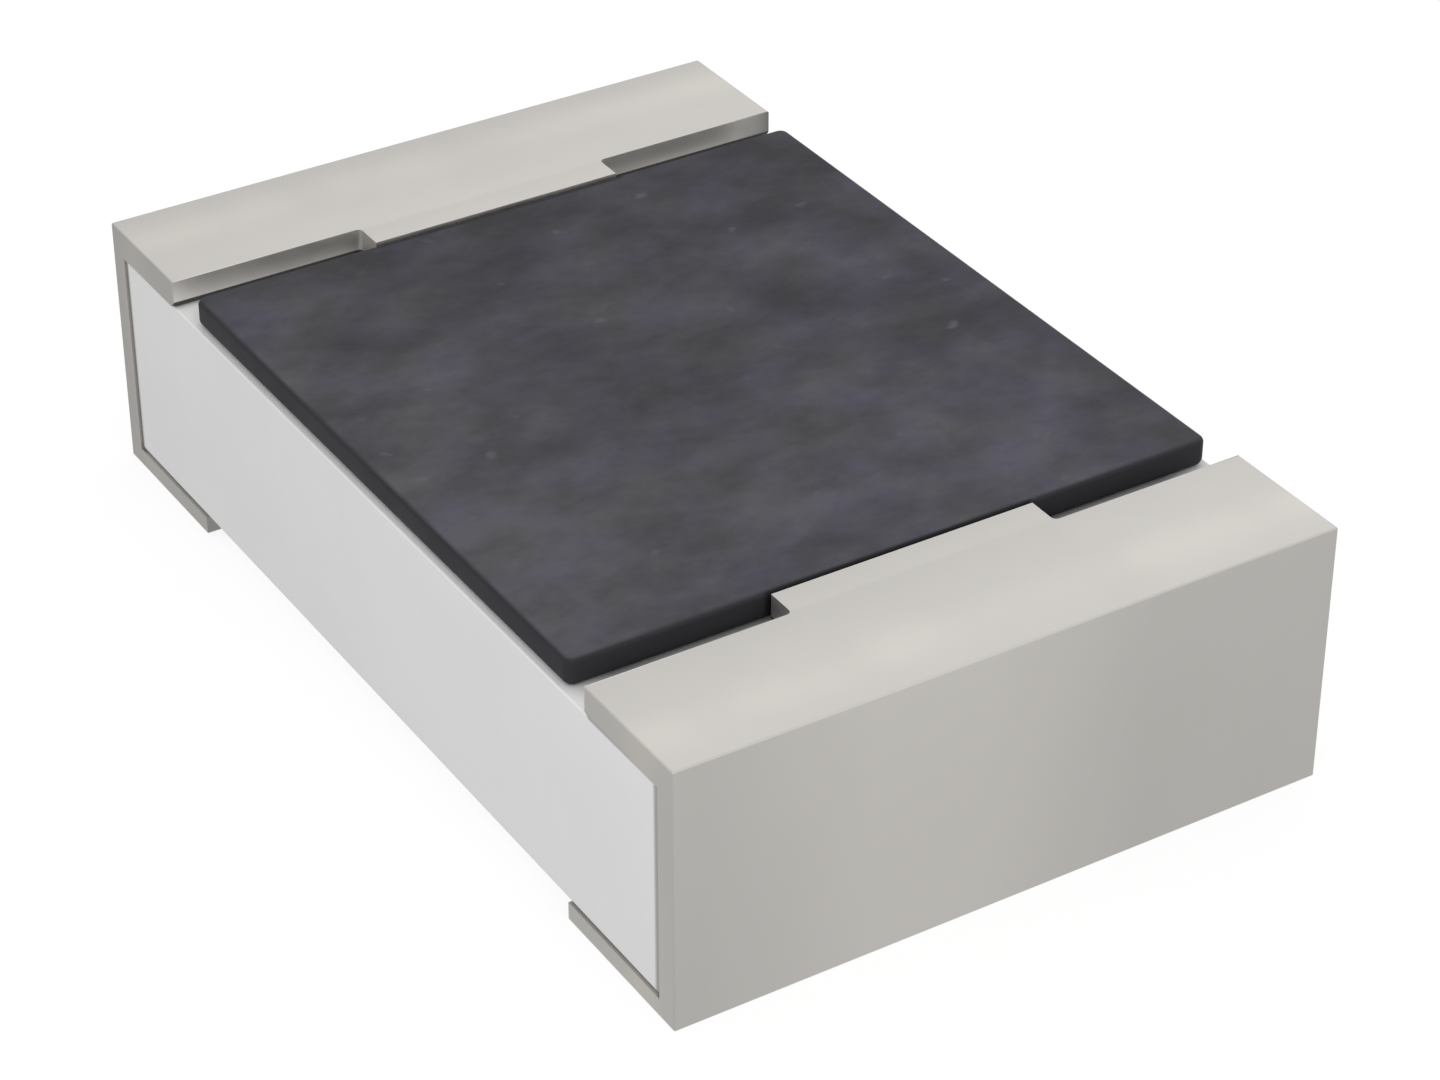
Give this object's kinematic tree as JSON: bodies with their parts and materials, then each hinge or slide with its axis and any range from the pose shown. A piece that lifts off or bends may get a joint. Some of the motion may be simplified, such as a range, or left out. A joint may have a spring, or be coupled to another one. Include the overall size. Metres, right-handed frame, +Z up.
{
  "type": "smd chip resistor",
  "caption": "Flat ceramic chip resistor for surface mounting, with a dark overcoat on top and plated metal terminals wrapped round both ends.",
  "frame": {"origin": "middle of the solder side, on the plane that both terminals rest on", "axes": "+X along the length from one terminal to the other, +Z up from the solder side to the overcoat"},
  "size_m": [0.002, 0.0012, 0.0005],
  "materials": {
    "alumina": "fired white alumina, matte",
    "printed_silver": "fired silver print, dull",
    "resistor_film": "fired black oxide and glass print",
    "film_glass": "fired glaze",
    "overcoat_resin": "cured dark slate resin, faintly cloudy",
    "nickel": "plated nickel, satin",
    "tin": "plated tin, satin"
  },
  "bodies": {
    "root": {"substrate": "alumina", "bottom_electrode_left": "printed_silver", "bottom_electrode_right": "printed_silver", "top_electrode_left": "printed_silver", "top_electrode_right": "printed_silver", "resistive_film": "resistor_film", "glass_coat": "film_glass", "overcoat": "overcoat_resin", "end_electrode_left": "printed_silver", "end_electrode_right": "printed_silver", "nickel_barrier_left": "nickel", "nickel_barrier_right": "nickel", "tin_plating_left": "tin", "tin_plating_right": "tin"}
  },
  "joints": []
}
